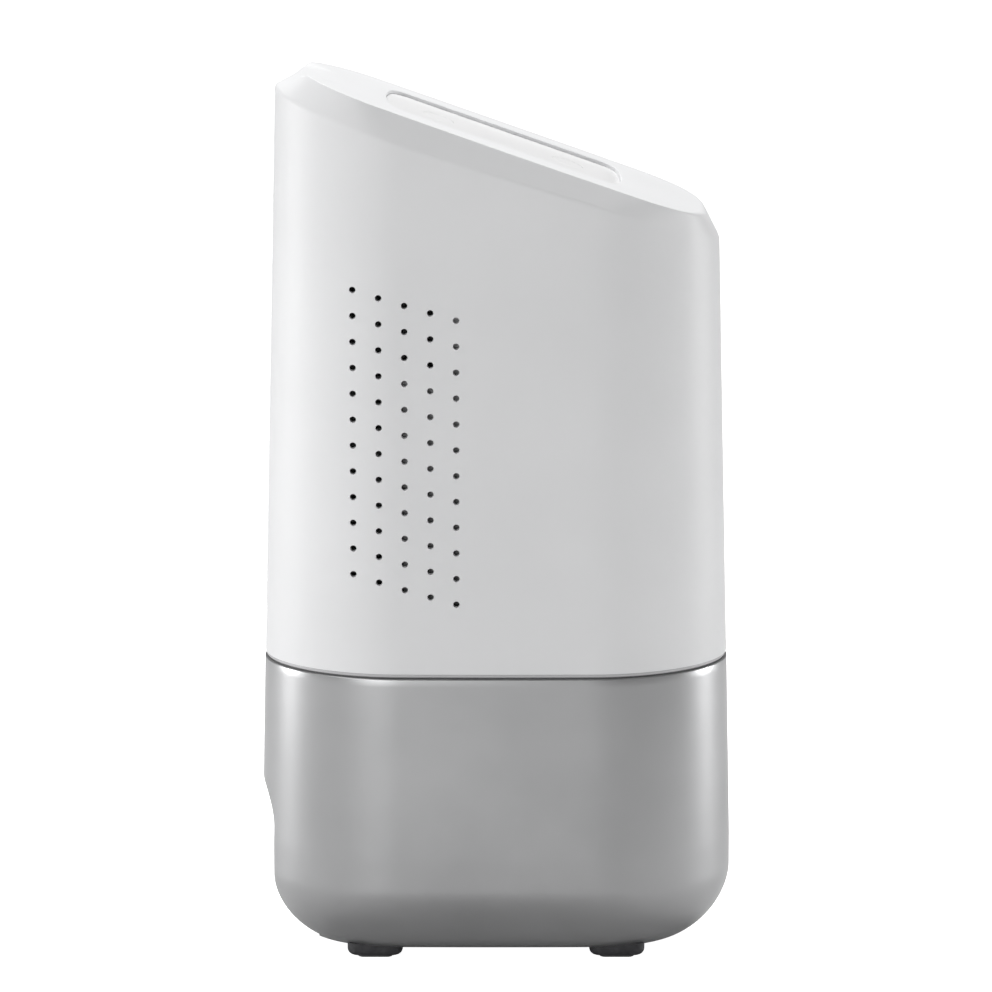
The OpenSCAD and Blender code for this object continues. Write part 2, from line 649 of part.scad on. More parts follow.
module main_board() color("darkgreen") difference() {
    box([board_x0, board_y, board_z0], [board_x1, board_y + board_t, board_z1]);
    for (x = [board_x0 + 3, board_x1 - 3]) translate([x, 0, board_z1 - 4]) rod(1.6, board_y - 1, board_y + board_t + 1);
}

module board_parts() {
    mid = (board_x0 + board_x1) / 2;
    color("#2b3a55") for (z = [26, 38]) translate([mid - 4, 0, board_z0 + z]) rod(4, board_y - 11, board_y);
    color("#303030") translate([mid + 6, 0, board_z0 + 32]) rod(5.5, board_y - 6, board_y);
    color("#202020") box([mid - 5, board_y - 1.4, board_z0 + 50], [mid + 4, board_y, board_z0 + 59]);
    color("ivory") for (z = [14, 60]) box([board_x0 + 3, board_y - 7, board_z0 + z - 3], [board_x0 + 11, board_y, board_z0 + z + 3]);
    color("#404040") box([mid + 3, board_y - 4, board_z0 + 10], [mid + 10, board_y, board_z0 + 20]);
}

module level_sensor() color("darkgreen") {
    box([float_x - 5, float_y - 0.8, chassis_top], [float_x + 5, float_y + 0.8, chassis_top + 12]);
    translate([float_x - 4, float_y - 1.8, chassis_top + 4]) rotate([0, 90, 0]) cylinder(r = 1.2, h = 8);
}

module dc_jack() color("#222222") difference() {
    union() {
        translate([jack_nose_x, 0, jack_z]) rotate([0, 90, 0]) cylinder(r = jack_r, h = jack_body_x - jack_nose_x + 1);
        translate([jack_body_x, -jack_body_w / 2, jack_z - jack_body_h / 2])
            cube([jack_body_l, jack_body_w, jack_body_h]);
    }
    difference() {
        translate([jack_nose_x - 1, 0, jack_z]) rotate([0, 90, 0]) cylinder(r = jack_bore_r, h = 10.5);
        translate([jack_nose_x + 0.8, 0, jack_z]) rotate([0, 90, 0]) cylinder(r = jack_pin_r, h = 12);
    }
}

module control_board() color("darkgreen") on_top() difference() {
    translate([0, 0, -board_drop - board_thickness]) linear_extrude(board_thickness) rounded(board_l, board_w, 2);
    for (x = [-1, 1]) for (y = [-1, 1]) translate([x * post_x, y * post_y, -board_drop - 3])
        cylinder(r = small_screw_r + 0.2, h = 5);
}

module control_screws() color("silver") on_top() for (x = [-1, 1]) for (y = [-1, 1])
    translate([x * post_x, y * post_y, -board_drop - board_thickness]) screw(small_screw_r, 5.5, 2, 1.2);

module tact_switches() color("#2c2c2c") on_top() key_places() difference() {
    translate([-3, -3, -board_drop]) cube([6, 6, switch_h]);
    translate([0, 0, -board_drop + 1]) cylinder(r = switch_hole_r, h = switch_h);
}

module indicator_lamps() color("#cfe8ff") on_top() for (s = [-1, 1])
    translate([s * lamp_spacing / 2, 0, -board_drop]) cylinder(r = 1.5, h = 2.2);

module light_guides() color("#e8f4ff") on_top() for (s = [-1, 1])
    translate([s * lamp_spacing / 2, 0, -board_drop + 2.5]) cylinder(r = guide_r, h = board_drop - 2.5 - well_depth);

module control_panel() color("white") on_top() difference() {
    translate([0, 0, -well_depth]) linear_extrude(panel_thickness)
        pill(-0.15);
    key_places() translate([0, 0, -well_depth - 1]) cylinder(r = key_d / 2 + key_gap, h = panel_thickness + 2);
}

module key(side) color("white") on_top() translate([side * key_spacing / 2, 0, 0]) {
    translate([0, 0, -well_floor + 0.3]) cylinder(r = key_d / 2, h = well_floor - 0.3 - panel_recess);
    translate([0, 0, -well_floor + 0.3]) cylinder(r = key_flange_r, h = floor_thickness - 0.4);
    translate([0, 0, -stem_end]) cylinder(r = 2, h = stem_end - well_floor + 1);
}
module plunger(side) color("black") on_top() translate([side * key_spacing / 2, 0, -stem_end - 2])
    cylinder(r = plunger_r, h = 2);
module power_key() key(-1);
module light_key() key(1);
module power_plunger() plunger(-1);
module light_plunger() plunger(1);

tank_shell();
feet();
foot_pads();
tank_lid();
lid_seal();
float_cage();
float_body();
float_magnet();
housing();
chassis();
chassis_screws();
drip_funnel();
carrier();
carrier_screws();
intake_baffle();
cold_heatsink();
insulation_frame();
peltier_module();
hot_heatsink();
clamp_screws();
fan_frame();
fan_bearing();
fan_screws();
fan_rotor();
main_board();
board_parts();
level_sensor();
dc_jack();
control_board();
control_screws();
tact_switches();
indicator_lamps();
light_guides();
control_panel();
power_key();
power_plunger();
light_key();
light_plunger();
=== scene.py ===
import math

import bmesh
import bpy
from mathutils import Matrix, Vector


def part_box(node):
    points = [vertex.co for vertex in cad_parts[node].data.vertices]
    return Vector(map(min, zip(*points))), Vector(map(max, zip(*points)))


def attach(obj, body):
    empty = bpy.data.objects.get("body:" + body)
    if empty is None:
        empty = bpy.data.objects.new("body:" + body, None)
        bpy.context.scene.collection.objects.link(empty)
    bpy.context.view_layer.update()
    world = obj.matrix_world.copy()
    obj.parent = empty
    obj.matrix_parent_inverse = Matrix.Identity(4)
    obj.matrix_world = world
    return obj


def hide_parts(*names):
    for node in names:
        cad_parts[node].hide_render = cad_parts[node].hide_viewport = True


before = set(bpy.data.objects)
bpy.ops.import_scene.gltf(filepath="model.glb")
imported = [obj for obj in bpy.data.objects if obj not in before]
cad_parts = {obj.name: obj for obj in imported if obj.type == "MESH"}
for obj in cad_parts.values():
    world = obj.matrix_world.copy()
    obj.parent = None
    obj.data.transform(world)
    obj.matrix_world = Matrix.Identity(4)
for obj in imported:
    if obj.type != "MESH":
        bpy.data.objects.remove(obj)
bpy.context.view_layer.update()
MM = 0.001

# ---------------------------------------------------------------- camera
# A long lens stands well back and looks slightly down on the intake side.
camera_data = bpy.data.cameras.new("camera")
camera_data.lens = 239.5
camera_data.sensor_width = 36
camera_data.clip_end = 50
camera = bpy.data.objects.new("camera", camera_data)
camera.location = (0, -2.240, 0.6736)
camera.rotation_euler = (math.radians(90 - 12.86), 0, 0)
bpy.context.collection.objects.link(camera)
bpy.context.scene.camera = camera

# ---------------------------------------------------------------- water tank
# Injection-moulded tank, sprayed satin silver-grey. One shell with drafted walls, a large rounded bottom
# edge and an arched finger recess in its high end. The head and the lid lift off it.
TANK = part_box("tank_shell")
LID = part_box("tank_lid")
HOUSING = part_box("housing")
SEAM = HOUSING[0][2]
RIM = TANK[1][2]
HALF_LENGTH = HOUSING[1][0]
END = 47 * MM
FLAT = HALF_LENGTH - END
BOW = 0.05
SIDE = HOUSING[1][1] / (1 + BOW)
END_STATIONS = 64
SIDE_STATIONS = 24


def stations(extra_angles=()):
    """Places round the plan outline: share of the straight length, cosine and sine of the end's ellipse."""
    right = sorted([180 * i / END_STATIONS - 90 for i in range(END_STATIONS + 1)])
    left = sorted([180 * i / END_STATIONS + 90 for i in range(END_STATIONS + 1)] + list(extra_angles))
    sides = [1 - 2 * i / SIDE_STATIONS for i in range(1, SIDE_STATIONS)]
    ring = [(1, math.cos(math.radians(p)), math.sin(math.radians(p))) for p in right]
    ring += [(s, 0, 1) for s in sides]
    ring += [(-1, math.cos(math.radians(p)), math.sin(math.radians(p))) for p in left]
    return ring + [(-s, 0, -1) for s in sides]


def plan_point(station, flat, end, half):
    """A point on an outline made of two elliptical ends joined by bowed sides."""
    x = station[0] * flat + station[1] * end
    return x, half * station[2] * (1 + BOW * (1 - (x / (flat + end)) ** 2))


def level_ring(inset, z):
    """The plan outline taken in by inset, laid level at z."""
    return [Vector((*plan_point(s, FLAT, END - inset, SIDE - inset), z)) for s in stations()]


def lofted(name, rings, caps=(True, True)):
    """A closed mesh through rings of equal length, with a fan over the first and the last."""
    mesh = bmesh.new()
    rows = [[mesh.verts.new(p) for p in ring] for ring in rings]
    count = len(rings[0])
    for low, high in zip(rows, rows[1:]):
        for i in range(count):
            k = (i + 1) % count
            mesh.faces.new((low[i], low[k], high[k], high[i]))
    for row, wanted, turn in ((rows[0], caps[0], -1), (rows[-1], caps[1], 1)):
        if wanted:
            middle = mesh.verts.new(sum((v.co for v in row), Vector()) / count)
            for i in range(count):
                pair = (row[i], row[(i + 1) % count])[::turn]
                mesh.faces.new((*pair, middle))
    return mesh_object(name, mesh)


def mesh_object(name, mesh):
    """The finished bmesh as an object at the origin, with its faces pointing outwards."""
    bmesh.ops.remove_doubles(mesh, verts=mesh.verts, dist=1e-7)
    bmesh.ops.recalc_face_normals(mesh, faces=mesh.faces)
    data = bpy.data.meshes.new(name)
    mesh.to_mesh(data)
    mesh.free()
    obj = bpy.data.objects.new(name, data)
    bpy.context.collection.objects.link(obj)
    return obj


def carved(obj, cutter):
    """Cuts the cutter out of obj and drops the cutter."""
    modifier = obj.modifiers.new("carve", "BOOLEAN")
    modifier.operation = "DIFFERENCE"
    modifier.solver = "EXACT"
    modifier.object = cutter
    baked(obj)
    bpy.data.objects.remove(cutter)


def baked(obj):
    """Replaces obj's mesh with what its modifiers make, and removes them."""
    graph = bpy.context.evaluated_depsgraph_get()
    made = bpy.data.meshes.new_from_object(obj.evaluated_get(graph))
    obj.modifiers.clear()
    obj.data = made


def smoothed(obj, angle=30):
    """Smooth shading that keeps edges sharper than the angle crisp."""
    obj.data.polygons.foreach_set("use_smooth", [True] * len(obj.data.polygons))
    obj.data.set_sharp_from_angle(angle=math.radians(angle))


def arch_prism(name, half_width, top, x0, x1, taper, steps=40):
    """A prism along X with a round-topped arch for its section, narrowed by taper towards x1."""
    rings = []
    for x, inset in ((x0, 0), (x1, taper)):
        r = half_width - inset
        centre = top - half_width
        arch = [(r * math.cos(math.pi * i / steps), centre + r * math.sin(math.pi * i / steps))
                for i in range(steps + 1)]
        rings.append([Vector((x, y, z)) for y, z in [(r, -10 * MM)] + arch + [(-r, -10 * MM)]])
    return lofted(name, rings)


FLARE = TANK[1][0] - HALF_LENGTH
EDGE = 27.5 * MM
EDGE_POWER = 1.11
WIDEST = 41.5 * MM
WALL = 2.2 * MM


def tank_rings(skin, top):
    """Rings of the tank's surface from the underside up, set in by skin."""
    edge = EDGE - skin
    base = TANK[0][2] + EDGE
    rings = []
    for i in range(25):
        turn = math.radians(90 * (1 - i / 24))
        rings.append(level_ring(skin - FLARE + edge * (1 - max(math.cos(turn), 0) ** EDGE_POWER),
                                base - edge * math.sin(turn) ** EDGE_POWER))
    draft = (FLARE - 0.1 * MM) / (RIM - WIDEST)
    for i in range(1, 9):
        rings.append(level_ring(skin - FLARE, base + (WIDEST - base) * i / 8))
    for i in range(1, 25):
        z = WIDEST + (top - WIDEST) * i / 24
        rings.append(level_ring(skin - FLARE + draft * max(z - WIDEST, 0), z))
    return rings


LIP = 0.45 * MM
tank_outside = tank_rings(0, RIM - LIP)
for i in range(1, 5):
    turn = math.radians(90 * i / 4)
    tank_outside.append(level_ring(-0.1 * MM + LIP * (1 - math.cos(turn)), RIM - LIP + LIP * math.sin(turn)))
tank = lofted("tank", tank_outside)
GRIP_HALF = 16 * MM
GRIP_TOP = 62.5 * MM
GRIP_START = -(HALF_LENGTH + FLARE + 3 * MM)
GRIP_FLOOR = -(HALF_LENGTH + FLARE - 20 * MM)
GRIP_WALL = 2 * MM
GRIP_TAPER = 0.8 * MM
cavity = lofted("cavity", tank_rings(WALL, RIM + 5 * MM))
carved(cavity, arch_prism("grip_wall", GRIP_HALF + GRIP_WALL, GRIP_TOP + GRIP_WALL, GRIP_START,
                          GRIP_FLOOR + GRIP_WALL, GRIP_TAPER))
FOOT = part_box("feet")
FOOT_WIDTH = 19.4 * MM
FOOT_DEPTH = 14 * MM
FOOT_CORNER = 3.2 * MM


def rounded_rectangle(length, width, corner, steps=10):
    """Points round a rectangle with arcs for corners."""
    points = []
    for k, (sx, sy) in enumerate(((1, 1), (-1, 1), (-1, -1), (1, -1))):
        for i in range(steps + 1):
            turn = math.radians(90 * (k + i / steps))
            points.append((sx * (length / 2 - corner) + corner * math.cos(turn),
                           sy * (width / 2 - corner) + corner * math.sin(turn)))
    return points


def in_four_places(rings, name):
    """One object with a copy of the rings' solid at each corner of the underside."""
    parts = []
    for sx in (-1, 1):
        for sy in (-1, 1):
            centre = Vector((sx * (FOOT[1][0] - FOOT_WIDTH / 2), sy * (FOOT[1][1] - FOOT_DEPTH / 2), 0))
            parts.append(lofted(name, [[p + centre for p in ring] for ring in rings]))
    joined = bmesh.new()
    for part in parts:
        joined.from_mesh(part.data)
        bpy.data.objects.remove(part)
    return mesh_object(name, joined)


def foot_column(grow, low, high):
    """Two rings of an upright column with a foot's plan, grown all round."""
    plan = rounded_rectangle(FOOT_WIDTH + 2 * grow, FOOT_DEPTH + 2 * grow, FOOT_CORNER + grow)
    return [[Vector((x, y, z)) for x, y in plan] for z in (low, high)]


carved(cavity, in_four_places(foot_column(1.6 * MM, -5 * MM, FOOT[1][2] + 1.6 * MM), "seats"))
carved(tank, cavity)
carved(tank, arch_prism("grip_cut", GRIP_HALF, GRIP_TOP, GRIP_START, GRIP_FLOOR, GRIP_TAPER))
carved(tank, in_four_places(foot_column(0.1 * MM, -5 * MM, FOOT[1][2] + 0.05 * MM), "pockets"))
smoothed(tank)


class Wire:
    """A node socket that Python's arithmetic works on."""

    def __init__(self, material, socket):
        self.material = material
        self.socket = socket

    def maths(self, operation, *others):
        return self.material.node("ShaderNodeMath", {"operation": operation}, self, *others)

    def __add__(self, other):
        return self.maths("ADD", other)

    def __mul__(self, other):
        return self.maths("MULTIPLY", other)

    __radd__ = __add__
    __rmul__ = __mul__


class Finish:
    """A material on the Principled shader, wired up in Python."""

    def __init__(self, name, **constants):
        self.data = bpy.data.materials.new(name)
        self.data.use_nodes = True
        self.tree = self.data.node_tree
        self.shader = self.tree.nodes["Principled BSDF"]
        for socket, value in constants.items():
            self.shader.inputs[socket.replace("_", " ")].default_value = value

    def node(self, kind, settings=None, *values, out=0, **named):
        """Adds a node, applies its settings, then fills its sockets by position and by name."""
        node = self.tree.nodes.new(kind)
        for key, value in (settings or {}).items():
            setattr(node, key, value)
        for key, value in list(enumerate(values)) + [(k.replace("_", " "), v) for k, v in named.items()]:
            if isinstance(value, Wire):
                self.tree.links.new(value.socket, node.inputs[key])
            elif value is not None:
                node.inputs[key].default_value = value
        return Wire(self, node.outputs[out])

    def place(self, scale=(1, 1, 1)):
        """Object coordinates in metres, stretched by scale."""
        where = self.node("ShaderNodeTexCoord", out="Object")
        return self.node("ShaderNodeMapping", {}, where, Scale=scale)

    def noise(self, scale, detail=2.0, where=None):
        """Noise of so many cells a metre, centred on 0.5."""
        return self.node("ShaderNodeTexNoise", {}, Vector=where or self.place(), Scale=scale, Detail=detail)

    def spread(self, value, low, high, to_low, to_high):
        """Maps low..high to to_low..to_high."""
        return self.node("ShaderNodeMapRange", {}, value, low, high, to_low, to_high)

    def blend(self, share, first, second):
        """Mixes two colours, each a tuple or a wire."""
        node = self.tree.nodes.new("ShaderNodeMix")
        node.data_type = "RGBA"
        for index, value in ((0, share), (6, first), (7, second)):
            if isinstance(value, Wire):
                self.tree.links.new(value.socket, node.inputs[index])
            else:
                node.inputs[index].default_value = value if index == 0 else (*value, 1)
        return Wire(self, node.outputs[2])

    def bump(self, height, strength, distance):
        """Feeds the shader's normal from a height in metres times distance."""
        made = self.node("ShaderNodeBump", {}, Height=height, Strength=strength, Distance=distance)
        self.feed("Normal", made)

    def feed(self, socket, wire):
        self.tree.links.new(wire.socket, self.shader.inputs[socket])

    def coat(self, *objects):
        """Puts this finish on objects, in place of what they have."""
        for obj in objects:
            obj.data.materials.clear()
            obj.data.materials.append(self.data)


# Silver paint: fine aluminium flake in a satin clear, a little deeper where the spray was thin.
paint = Finish("silver_paint", Metallic=0.82, Coat_Weight=0.12, Coat_Roughness=0.32)
flake = paint.noise(5200, 1.0)
cloud = paint.noise(26, 2.0)
paint.feed("Base Color", paint.blend(paint.spread(cloud + 0.25 * flake, 0.35, 0.95, 0, 1),
                                     (0.395, 0.397, 0.402), (0.455, 0.457, 0.462)))
paint.feed("Roughness", paint.spread(flake, 0.3, 0.7, 0.3, 0.36))
paint.bump(flake, 0.05, 0.00005)
paint.coat(tank)
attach(tank, "tank")
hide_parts("tank_shell")

# ---------------------------------------------------------------- feet
# Four moulded rubber feet pressed into pockets in the tank's floor, each with a paler pad let into it.
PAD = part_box("foot_pads")
PAD_WIDTH = 12.2 * MM
PAD_DEPTH = 9 * MM


def block_rings(length, width, corner, low, high, bottom_round, top_round):
    """Rings of a block with rounded corners and rounded lower and upper edges."""
    rings = []
    for i in range(9):
        turn = math.radians(90 * i / 8)
        inset = bottom_round * (1 - math.sin(turn))
        z = low + bottom_round * (1 - math.cos(turn))
        rings.append([Vector((x, y, z)) for x, y in rounded_rectangle(
            length - 2 * inset, width - 2 * inset, max(corner - inset * 0.6, 0.2 * MM))])
    for i in range(5):
        turn = math.radians(90 * i / 4)
        inset = top_round * (1 - math.cos(turn))
        z = high - top_round + top_round * math.sin(turn)
        rings.append([Vector((x, y, z)) for x, y in rounded_rectangle(
            length - 2 * inset, width - 2 * inset, max(corner - inset * 0.6, 0.2 * MM))])
    return rings


feet = in_four_places(block_rings(FOOT_WIDTH, FOOT_DEPTH, FOOT_CORNER, FOOT[0][2], FOOT[1][2],
                                  2.6 * MM, 0.2 * MM), "feet_rubber")
smoothed(feet, 40)
pads = in_four_places(block_rings(PAD_WIDTH, PAD_DEPTH, 2 * MM, PAD[0][2], PAD[1][2],
                                  0.35 * MM, 0.05 * MM), "pads_rubber")
smoothed(pads, 40)


def rubber(name, colour, pale):
    """Moulded rubber, slightly dusty, with a fine matt grain."""
    finish = Finish(name, Specular_IOR_Level=0.35)
    dust = finish.noise(420, 3.0)
    grain = finish.noise(3600, 1.0)
    finish.feed("Base Color", finish.blend(finish.spread(dust, 0.42, 0.7, 0, 1), colour, pale))
    finish.feed("Roughness", finish.spread(grain, 0.3, 0.7, 0.55, 0.72))
    finish.bump(grain, 0.25, 0.0001)
    return finish


rubber("foot_rubber", (0.05, 0.05, 0.054), (0.07, 0.07, 0.074)).coat(feet)
rubber("pad_rubber", (0.1, 0.1, 0.105), (0.13, 0.13, 0.135)).coat(pads)
for piece, node, slot in ((feet, "feet", "foot_rubber"), (pads, "foot_pads", "pad_rubber")):
    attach(piece, "tank")
    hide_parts(node)

# ---------------------------------------------------------------- tank lid, seal and float
# The lid is a thin moulded plate whose edge shows as a pale band under the head, on a dark silicone seal.
# Its skirt centres it in the tank, the drip hole passes the spout, and the float rides in a slotted cage.
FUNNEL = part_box("drip_funnel")
LID_EDGE = 1.1 * MM
LID_IN = 0.5 * MM
SKIRT_IN = WALL + 0.5 * MM
SKIRT_WALL = 1.6 * MM
ROUND = 0.25 * MM


def band_rings(inset, z0, z1, edge):
    """Rings up the outside of a plate with small rounded edges."""
    rings = []
    for i in range(4):
        turn = math.radians(90 * i / 3)
        rings.append(level_ring(inset + edge * (1 - math.sin(turn)), z0 + edge * (1 - math.cos(turn))))
    for i in range(4):
        turn = math.radians(90 * i / 3)
        rings.append(level_ring(inset + edge * (1 - math.cos(turn)), z1 - edge + edge * math.sin(turn)))
    return rings


under_lid = SEAM - LID_EDGE
skirt_foot = LID[0][2]
skirt_inside = SKIRT_IN + SKIRT_WALL
lid = lofted("lid", [level_ring(skirt_inside, under_lid), level_ring(skirt_inside, skirt_foot + ROUND),
                     level_ring(skirt_inside - ROUND, skirt_foot), level_ring(SKIRT_IN + ROUND, skirt_foot),
                     level_ring(SKIRT_IN, skirt_foot + ROUND), level_ring(SKIRT_IN, under_lid)]
             + band_rings(LID_IN, under_lid, SEAM, ROUND))
spout = Vector(((FUNNEL[0][0] + FUNNEL[1][0]) / 2, (FUNNEL[0][1] + FUNNEL[1][1]) / 2, 0))


def cylinder(name, centre, radius, z0, z1, sides=48):
    """An upright cylinder, used to drill with."""
    rings = [[Vector((centre.x + radius * math.cos(2 * math.pi * i / sides),
                      centre.y + radius * math.sin(2 * math.pi * i / sides), z)) for i in range(sides)]
             for z in (z0, z1)]
    return lofted(name, rings)


carved(lid, cylinder("drip_hole", spout, 6 * MM, under_lid - 5 * MM, SEAM + 5 * MM))
smoothed(lid)
SEAL_IN = 0.9 * MM
SEAL_WIDTH = 1.2 * MM
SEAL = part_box("lid_seal")
seal_inside = SEAL_IN + SEAL_WIDTH
seal = lofted("seal", [level_ring(seal_inside, SEAL[1][2]), level_ring(seal_inside, SEAL[0][2])]
              + band_rings(SEAL_IN, SEAL[0][2], SEAL[1][2], 0.1 * MM)
              + [level_ring(seal_inside, SEAL[1][2])], caps=(False, False))
smoothed(seal)


def moulded(name, colour, roughness=0.42, grain=0.12, spread=0.03):
    """Moulded plastic: faint cloudy colour, fine spark-eroded grain."""
    finish = Finish(name, Specular_IOR_Level=0.5)
    cloud = finish.noise(34, 2.0)
    texture = finish.noise(2600, 2.0)
    darker = tuple(c * (1 - spread) for c in colour)
    finish.feed("Base Color", finish.blend(finish.spread(cloud, 0.35, 0.65, 0, 1), darker, colour))
    finish.feed("Roughness", finish.spread(texture, 0.3, 0.7, roughness - 0.04, roughness + 0.05))
    finish.bump(texture, grain, 0.00006)
    return finish


def cad(*names):
    """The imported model's own objects for these nodes."""
    return [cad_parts[n] for n in names]


moulded("lid_plastic", (0.5, 0.5, 0.51)).coat(lid)
rubber("seal_rubber", (0.15, 0.15, 0.153), (0.18, 0.18, 0.184)).coat(seal)
for piece, node, slot in ((lid, "tank_lid", "lid_plastic"), (seal, "lid_seal", "seal_rubber")):
    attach(piece, "lid")
    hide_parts(node)
moulded("cage_plastic", (0.78, 0.78, 0.78)).coat(*cad("float_cage"))
foam = moulded("float_foam", (0.8, 0.76, 0.66), 0.7, 0.6, 0.12)
foam.coat(*cad("float_body"))


def metal(name, colour, roughness, along, scale=900):
    """Bare metal with drawn or turned lines along one axis."""
    finish = Finish(name, Metallic=1.0)
    lines = finish.noise(scale, 3.0, finish.place(scale=along))
    darker = tuple(c * 0.86 for c in colour)
    finish.feed("Base Color", finish.blend(finish.spread(lines, 0.35, 0.65, 0, 1), darker, colour))
    finish.feed("Roughness", finish.spread(lines, 0.3, 0.7, roughness - 0.06, roughness + 0.08))
    finish.bump(lines, 0.15, 0.00005)
    return finish


metal("nickel", (0.62, 0.6, 0.57), 0.25, (1, 1, 0.1)).coat(*cad("float_magnet"))

# ---------------------------------------------------------------- chassis, drip funnel and carrier
# An off-white moulded plate closes the head from below, held by screws in counterbores. The funnel catches
# the drips under the cold fins, and the pale grey carrier wall parts the cold air path from the hot one.
moulded("chassis_plastic", (0.74, 0.74, 0.74)).coat(*cad("chassis"))
moulded("funnel_plastic", (0.6, 0.6, 0.61)).coat(*cad("drip_funnel"))
moulded("carrier_plastic", (0.5, 0.51, 0.52)).coat(*cad("carrier"))
moulded("baffle_plastic", (0.62, 0.62, 0.63)).coat(*cad("intake_baffle"))
zinc = metal("zinc_plate", (0.58, 0.59, 0.62), 0.3, (1, 1, 1), 1800)
zinc.coat(*cad("chassis_screws", "carrier_screws", "clamp_screws", "fan_screws", "control_screws"))

# ---------------------------------------------------------------- thermoelectric stack and fan
# Two extruded aluminium heat sinks clamp the white ceramic module in a foam frame, and a black fan with a
# bronze sleeve bearing blows through the hot one.
aluminium = metal("extruded_aluminium", (0.72, 0.73, 0.74), 0.34, (1, 1, 0.04), 1400)
aluminium.coat(*cad("cold_heatsink", "hot_heatsink"))
moulded("insulation_foam", (0.07, 0.07, 0.075), 0.8, 0.8, 0.25).coat(*cad("insulation_frame"))
moulded("alumina", (0.8, 0.8, 0.77), 0.5, 0.2, 0.05).coat(*cad("peltier_module"))
moulded("fan_plastic", (0.022, 0.022, 0.025), 0.4, 0.2, 0.2).coat(*cad("fan_frame", "fan_rotor"))
metal("sintered_bronze", (0.62, 0.42, 0.2), 0.42, (1, 1, 1), 2400).coat(*cad("fan_bearing"))

# ---------------------------------------------------------------- boards and power inlet
# Green glass-fibre boards with copper tracks under the mask, black and ivory parts, and a barrel inlet.


def circuit_board(name):
    """Solder mask over tracks: lighter lines run on a fine square grid."""
    finish = Finish(name, Coat_Weight=0.5, Coat_Roughness=0.2)
    cells = finish.node("ShaderNodeTexVoronoi", {"distance": "CHEBYCHEV", "feature": "F1"},
                        Vector=finish.place(), Scale=420)
    tracks = finish.spread(cells, 0.42, 0.5, 0, 1)
    finish.feed("Base Color", finish.blend(tracks, (0.012, 0.11, 0.045), (0.05, 0.24, 0.09)))
    finish.feed("Roughness", finish.spread(tracks, 0, 1, 0.42, 0.3))
    finish.bump(tracks, 0.3, 0.00004)
    return finish


circuit_board("solder_mask").coat(*cad("main_board", "control_board", "level_sensor"))
moulded("component_black", (0.03, 0.03, 0.034), 0.45, 0.15, 0.3).coat(*cad("board_parts", "tact_switches"))
moulded("inlet_black", (0.016, 0.016, 0.017), 0.38, 0.15, 0.2).coat(*cad("dc_jack"))
moulded("plunger_black", (0.02, 0.02, 0.02), 0.5, 0.1, 0.2).coat(*cad("power_plunger", "light_plunger"))
clear = moulded("clear_plastic", (0.82, 0.88, 0.92), 0.2, 0.05)
clear.coat(*cad("indicator_lamps", "light_guides"))

# ---------------------------------------------------------------- white housing
# One deep injection moulding in semi-gloss white: drafted bowed walls, a chamfer all round the slanted top
# that flattens into a facet at the high end, a sunk field for the control panel, and round air holes.
ALPHA = math.radians(19.5)
SLOPE = math.tan(ALPHA)
DRAFT = math.tan(math.radians(1.35))
TOP_END = END - 20 * MM
TOP_FLAT = FLAT + 9.4 * MM
TOP_SIDE = SIDE - 7.6 * MM
TOP_SHIFT = 1.7 * MM
LOW_END_POWER = 0.68
TOP = HOUSING[1][2] + SLOPE * (6.4 * MM - TOP_FLAT - TOP_END)
BLUNT = -66.65 * MM
SAG = 1.9 * MM
FACET_HALF = 16 * MM
FACET_EDGE = 6.2 * MM
CROWN = 0.9 * MM
CROWN_HALF = 12 * MM
DIP = 1.6 * MM
DIP_HALF = 19 * MM
DIP_START = 60 * MM
CHAMFER_MIDDLE = TOP - 8.8 * MM
CHAMFER_RISE = SLOPE * 0.884
CREASE = math.degrees(math.acos((-BLUNT + TOP_SHIFT - TOP_FLAT) / TOP_END))
HEAD_STATIONS = stations([180 + side * (CREASE + step) for side in (-1, 1) for step in (-0.7, 0, 0.7)])
PILL_MIDDLE = 3 * MM
PILL_LENGTH = 85.6 * MM
PILL_WIDTH = 37 * MM
PILL_CORNER = 6.5 * MM
PILL_BOW = 67 * MM
RECESS = 1.2 * MM
PANEL = 1.5 * MM
FLOOR = 1.5 * MM
KEY_REACH = 23.5 * MM
KEY_RADIUS = 5.3 * MM


def on_top(along, across, out):
    """A point given along the slope, across it, and out of the top plane."""
    return Vector((along * math.cos(ALPHA) + out * math.sin(ALPHA), across,
                   TOP - along * math.sin(ALPHA) + out * math.cos(ALPHA)))


def wall_point(station, z, skin=0.0):
    """A point on the drafted wall at height z, set in by skin."""
    inset = (z - SEAM) * DRAFT + skin
    return Vector((*plan_point(station, FLAT, END - inset, SIDE - inset), z))


def chamfer_foot(station, skin=0.0, drop=0.0):
    """Where the wall meets the chamfer: a sloping loop, crowned at the high end and dipped at the low end."""
    x, y = plan_point(station, FLAT, END, SIDE)
    z = CHAMFER_MIDDLE - CHAMFER_RISE * x
    if x < 0:
        z += CROWN * max(0, 1 - (y / CROWN_HALF) ** 2)
    else:
        z -= DIP * max(0, 1 - (y / DIP_HALF) ** 2) * min(x / DIP_START, 1)
    return wall_point(station, z - drop, skin)


def sag_share(y):
    """How much the high end's edge rolls down, from 1 across the facet to 0 beside it."""
    share = min(max((FACET_HALF - abs(y)) / FACET_EDGE, 0), 1)
    return share * share * (3 - 2 * share)


